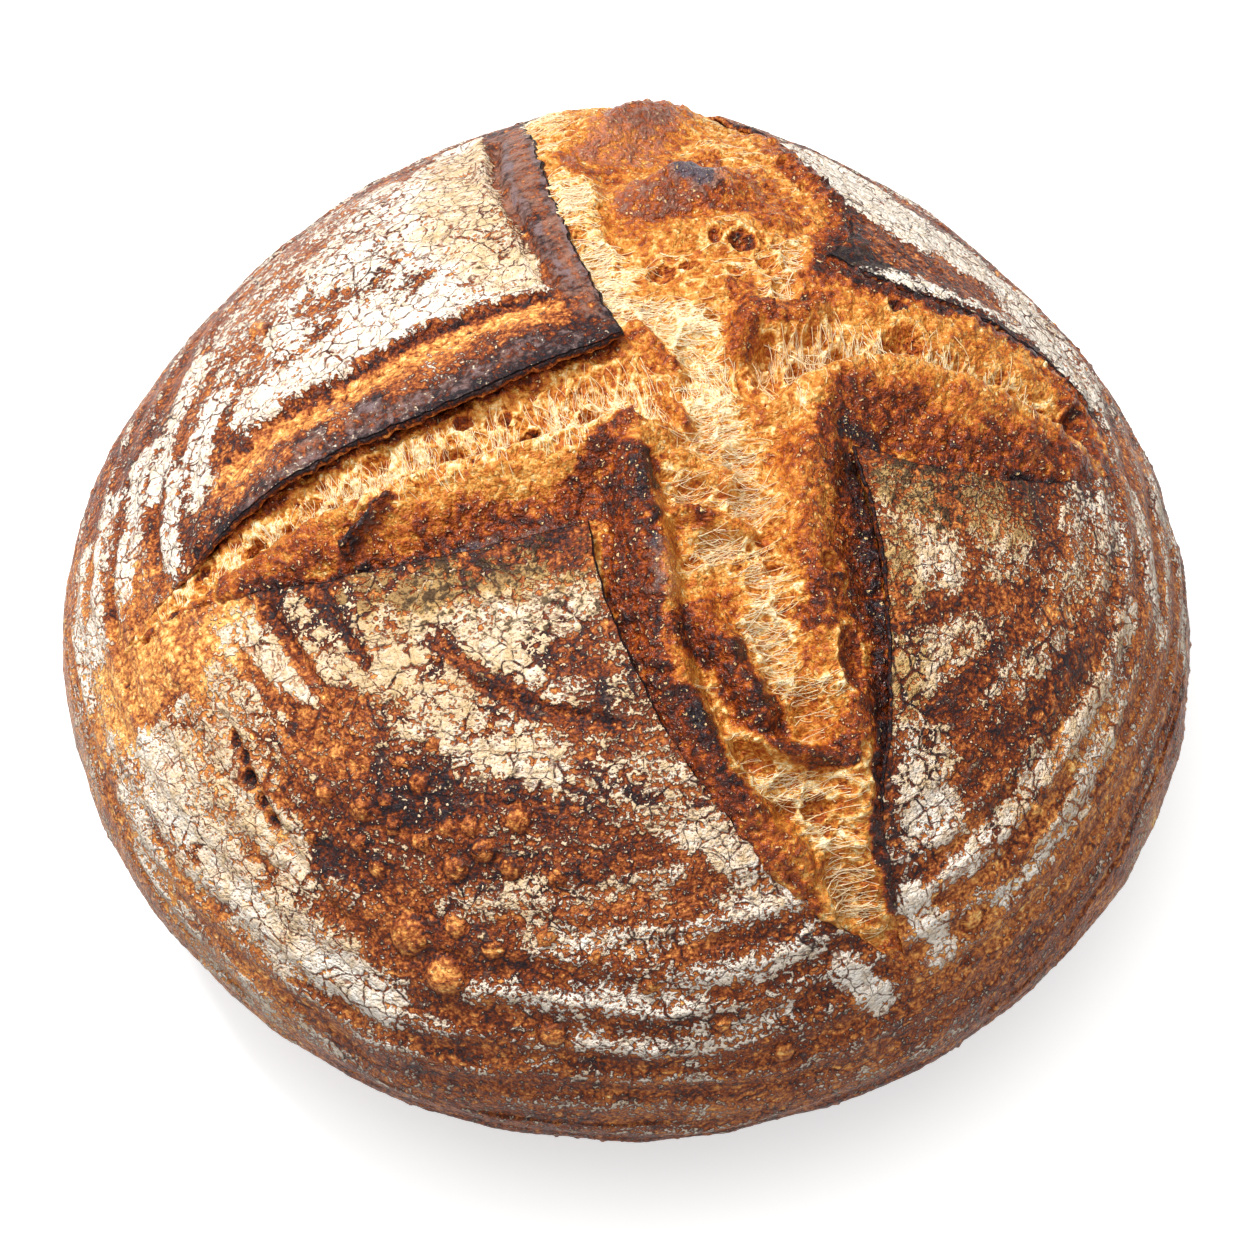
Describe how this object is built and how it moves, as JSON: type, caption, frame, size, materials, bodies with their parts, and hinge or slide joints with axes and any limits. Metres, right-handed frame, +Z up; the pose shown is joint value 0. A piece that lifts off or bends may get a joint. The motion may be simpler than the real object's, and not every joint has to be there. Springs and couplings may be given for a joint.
{
  "type": "sourdough loaf",
  "caption": "Round rustic sourdough loaf with a cross score burst open at the top, raised ears of crust, open crumb in the score and a flat base.",
  "frame": {"origin": "centre of the bounding box's base, on the loaf's flat underside", "axes": "+Z up; +X to the loaf's right and +Y to its back, as seen by someone facing the widest cut of the score"},
  "size_m": [0.2328, 0.2432, 0.1215],
  "materials": {
    "crust": "baked crust, golden to dark brown, dusted with flour",
    "crumb": "open toasted crumb, cream to golden"
  },
  "bodies": {
    "root": {"loaf": "crust"}
  },
  "joints": []
}
